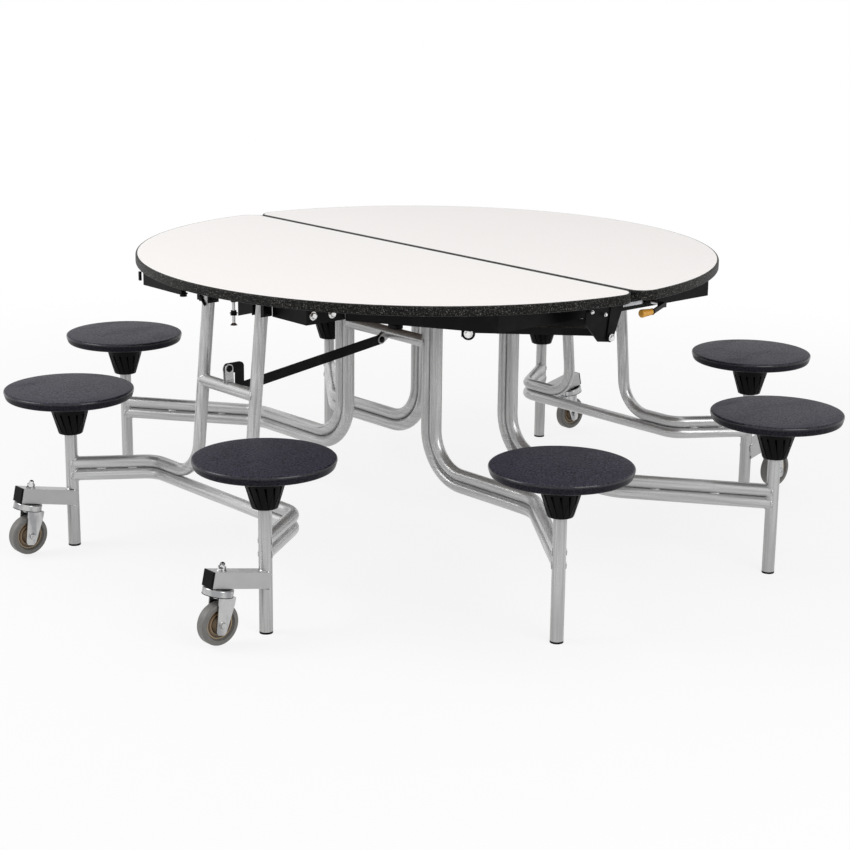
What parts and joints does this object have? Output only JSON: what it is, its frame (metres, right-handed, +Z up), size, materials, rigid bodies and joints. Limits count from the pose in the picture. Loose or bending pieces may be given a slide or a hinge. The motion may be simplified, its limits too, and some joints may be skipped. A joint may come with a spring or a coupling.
{
  "type": "mobile folding table with swivel stools",
  "caption": "Round cafeteria table that folds up at its middle seam, with swivel stools carried on the leg frames, casters for moving it folded, parallel link braces and seam latches",
  "frame": {"origin": "on the floor under the middle of the top", "axes": "+Z up, +X along the seam between the half tops, +Y from the near half to the far half"},
  "size_m": [2.104, 2.0712, 0.746],
  "materials": {
    "laminate": "fine matt laminate",
    "edge": "black textured sprayed edge",
    "black_steel": "black paint",
    "chrome": "bright plating",
    "amber_plastic": "smooth",
    "frame_steel": "metallic grey powder coat",
    "black_plastic": "fine grain",
    "seat_plastic": "pebbled charcoal",
    "tread": "grey tread"
  },
  "bodies": {
    "near_rim_frame": {"near_rim_lower_tube": "frame_steel", "near_rim_upper_tubes": "frame_steel", "near_rim_posts": "frame_steel", "near_rim_glides": "black_plastic", "near_caster_arms": "frame_steel", "near_end_plugs": "black_plastic"},
    "near_top": {"near_top_board": "laminate", "near_top_edge": "edge", "near_aprons": "black_steel", "near_rails": "black_steel", "near_brackets": "black_steel"},
    "near_centre_frame": {"near_centre_lower_tubes": "frame_steel", "near_centre_upper_tubes": "frame_steel", "near_centre_posts": "frame_steel", "near_centre_glides": "black_plastic"},
    "near_brace_link": {"near_brace": "black_steel"},
    "near_latch_lever": {"near_latch": "chrome", "near_latch_grip": "amber_plastic"},
    "near_rim_right_stool": {"near_rim_right_seat": "seat_plastic", "near_rim_right_hub": "black_plastic"},
    "near_rim_left_stool": {"near_rim_left_seat": "seat_plastic", "near_rim_left_hub": "black_plastic"},
    "near_centre_right_stool": {"near_centre_right_seat": "seat_plastic", "near_centre_right_hub": "black_plastic"},
    "near_centre_left_stool": {"near_centre_left_seat": "seat_plastic", "near_centre_left_hub": "black_plastic"},
    "near_right_caster": {"near_right_caster_fork": "chrome"},
    "near_right_wheel": {"near_right_caster_wheel": "tread"},
    "near_left_caster": {"near_left_caster_fork": "chrome"},
    "near_left_wheel": {"near_left_caster_wheel": "tread"},
    "far_rim_frame": {"far_rim_lower_tube": "frame_steel", "far_rim_upper_tubes": "frame_steel", "far_rim_posts": "frame_steel", "far_rim_glides": "black_plastic", "far_caster_arms": "frame_steel", "far_end_plugs": "black_plastic"},
    "far_top": {"far_top_board": "laminate", "far_top_edge": "edge", "far_aprons": "black_steel", "far_rails": "black_steel", "far_brackets": "black_steel"},
    "far_centre_frame": {"far_centre_lower_tubes": "frame_steel", "far_centre_upper_tubes": "frame_steel", "far_centre_posts": "frame_steel", "far_centre_glides": "black_plastic"},
    "far_brace_link": {"far_brace": "black_steel"},
    "far_latch_lever": {"far_latch": "chrome", "far_latch_grip": "amber_plastic"},
    "far_rim_right_stool": {"far_rim_right_seat": "seat_plastic", "far_rim_right_hub": "black_plastic"},
    "far_rim_left_stool": {"far_rim_left_seat": "seat_plastic", "far_rim_left_hub": "black_plastic"},
    "far_centre_right_stool": {"far_centre_right_seat": "seat_plastic", "far_centre_right_hub": "black_plastic"},
    "far_centre_left_stool": {"far_centre_left_seat": "seat_plastic", "far_centre_left_hub": "black_plastic"},
    "far_right_caster": {"far_right_caster_fork": "chrome"},
    "far_right_wheel": {"far_right_caster_wheel": "tread"},
    "far_left_caster": {"far_left_caster_fork": "chrome"},
    "far_left_wheel": {"far_left_caster_wheel": "tread"}
  },
  "joints": [
    {"name": "near_top_fold", "type": "hinge", "parent": "near_rim_frame", "child": "near_top", "pos_m": [0, -0.62524, 0.6795], "axis": [1, 0, 0], "range_deg": [0, 82]},
    {"name": "near_centre_frame_pivot", "type": "hinge", "parent": "near_top", "child": "near_centre_frame", "pos_m": [0, -0.136, 0.685], "axis": [1, 0, 0], "range_deg": [-82, 0]},
    {"name": "near_brace_pivot", "type": "hinge", "parent": "near_rim_frame", "child": "near_brace_link", "pos_m": [0, -0.64924, 0.5185], "axis": [1, 0, 0], "range_deg": [0, 82]},
    {"name": "seam_hinge", "type": "hinge", "parent": "near_top", "child": "far_top", "pos_m": [0, 0, 0.622], "axis": [1, 0, 0], "range_deg": [-164, 0]},
    {"name": "far_centre_frame_pivot", "type": "hinge", "parent": "far_top", "child": "far_centre_frame", "pos_m": [0, 0.136, 0.685], "axis": [1, 0, 0], "range_deg": [0, 82]},
    {"name": "far_rim_frame_pivot", "type": "hinge", "parent": "far_top", "child": "far_rim_frame", "pos_m": [0, 0.62524, 0.6795], "axis": [1, 0, 0], "range_deg": [0, 82]},
    {"name": "far_brace_pivot", "type": "hinge", "parent": "far_rim_frame", "child": "far_brace_link", "pos_m": [0, 0.64924, 0.5185], "axis": [1, 0, 0], "range_deg": [-82, 0]},
    {"name": "near_rim_right_seat_swivel", "type": "hinge", "parent": "near_rim_frame", "child": "near_rim_right_stool", "pos_m": [0.415, -0.85, 0.388], "axis": [0, 0, 1], "continuous": true},
    {"name": "near_rim_left_seat_swivel", "type": "hinge", "parent": "near_rim_frame", "child": "near_rim_left_stool", "pos_m": [-0.415, -0.85, 0.388], "axis": [0, 0, 1], "continuous": true},
    {"name": "near_centre_right_seat_swivel", "type": "hinge", "parent": "near_centre_frame", "child": "near_centre_right_stool", "pos_m": [0.887, -0.378, 0.388], "axis": [0, 0, 1], "continuous": true},
    {"name": "near_centre_left_seat_swivel", "type": "hinge", "parent": "near_centre_frame", "child": "near_centre_left_stool", "pos_m": [-0.887, -0.378, 0.388], "axis": [0, 0, 1], "continuous": true},
    {"name": "near_right_caster_swivel", "type": "hinge", "parent": "near_rim_frame", "child": "near_right_caster", "pos_m": [0.415, -0.97692, 0.15914], "axis": [0, 0.2164, 0.9763], "continuous": true},
    {"name": "near_right_wheel_spin", "type": "hinge", "parent": "near_right_caster", "child": "near_right_wheel", "pos_m": [0.415, -0.98565, 0.05506], "axis": [1, 0, 0], "continuous": true},
    {"name": "near_left_caster_swivel", "type": "hinge", "parent": "near_rim_frame", "child": "near_left_caster", "pos_m": [-0.415, -0.97692, 0.15914], "axis": [0, 0.2164, 0.9763], "continuous": true},
    {"name": "near_left_wheel_spin", "type": "hinge", "parent": "near_left_caster", "child": "near_left_wheel", "pos_m": [-0.415, -0.98565, 0.05506], "axis": [1, 0, 0], "continuous": true},
    {"name": "near_latch_release", "type": "hinge", "parent": "near_top", "child": "near_latch_lever", "pos_m": [-0.632, -0.15, 0.69], "axis": [-1, 0, 0], "range_deg": [0, 30]},
    {"name": "far_rim_right_seat_swivel", "type": "hinge", "parent": "far_rim_frame", "child": "far_rim_right_stool", "pos_m": [-0.415, 0.85, 0.388], "axis": [0, 0, 1], "continuous": true},
    {"name": "far_rim_left_seat_swivel", "type": "hinge", "parent": "far_rim_frame", "child": "far_rim_left_stool", "pos_m": [0.415, 0.85, 0.388], "axis": [0, 0, 1], "continuous": true},
    {"name": "far_centre_right_seat_swivel", "type": "hinge", "parent": "far_centre_frame", "child": "far_centre_right_stool", "pos_m": [-0.887, 0.378, 0.388], "axis": [0, 0, 1], "continuous": true},
    {"name": "far_centre_left_seat_swivel", "type": "hinge", "parent": "far_centre_frame", "child": "far_centre_left_stool", "pos_m": [0.887, 0.378, 0.388], "axis": [0, 0, 1], "continuous": true},
    {"name": "far_right_caster_swivel", "type": "hinge", "parent": "far_rim_frame", "child": "far_right_caster", "pos_m": [-0.415, 0.97692, 0.15914], "axis": [0, -0.2164, 0.9763], "continuous": true},
    {"name": "far_right_wheel_spin", "type": "hinge", "parent": "far_right_caster", "child": "far_right_wheel", "pos_m": [-0.415, 0.98565, 0.05506], "axis": [1, 0, 0], "continuous": true},
    {"name": "far_left_caster_swivel", "type": "hinge", "parent": "far_rim_frame", "child": "far_left_caster", "pos_m": [0.415, 0.97692, 0.15914], "axis": [0, -0.2164, 0.9763], "continuous": true},
    {"name": "far_left_wheel_spin", "type": "hinge", "parent": "far_left_caster", "child": "far_left_wheel", "pos_m": [0.415, 0.98565, 0.05506], "axis": [1, 0, 0], "continuous": true},
    {"name": "far_latch_release", "type": "hinge", "parent": "far_top", "child": "far_latch_lever", "pos_m": [0.632, 0.15, 0.69], "axis": [1, 0, 0], "range_deg": [0, 30]}
  ],
  "couplings": [
    {"joint": "near_centre_frame_pivot", "follows": "near_top_fold", "ratio": -1},
    {"joint": "near_brace_pivot", "follows": "near_top_fold", "ratio": 1},
    {"joint": "seam_hinge", "follows": "near_top_fold", "ratio": -2},
    {"joint": "far_centre_frame_pivot", "follows": "near_top_fold", "ratio": 1},
    {"joint": "far_rim_frame_pivot", "follows": "near_top_fold", "ratio": 1},
    {"joint": "far_brace_pivot", "follows": "near_top_fold", "ratio": -1}
  ]
}
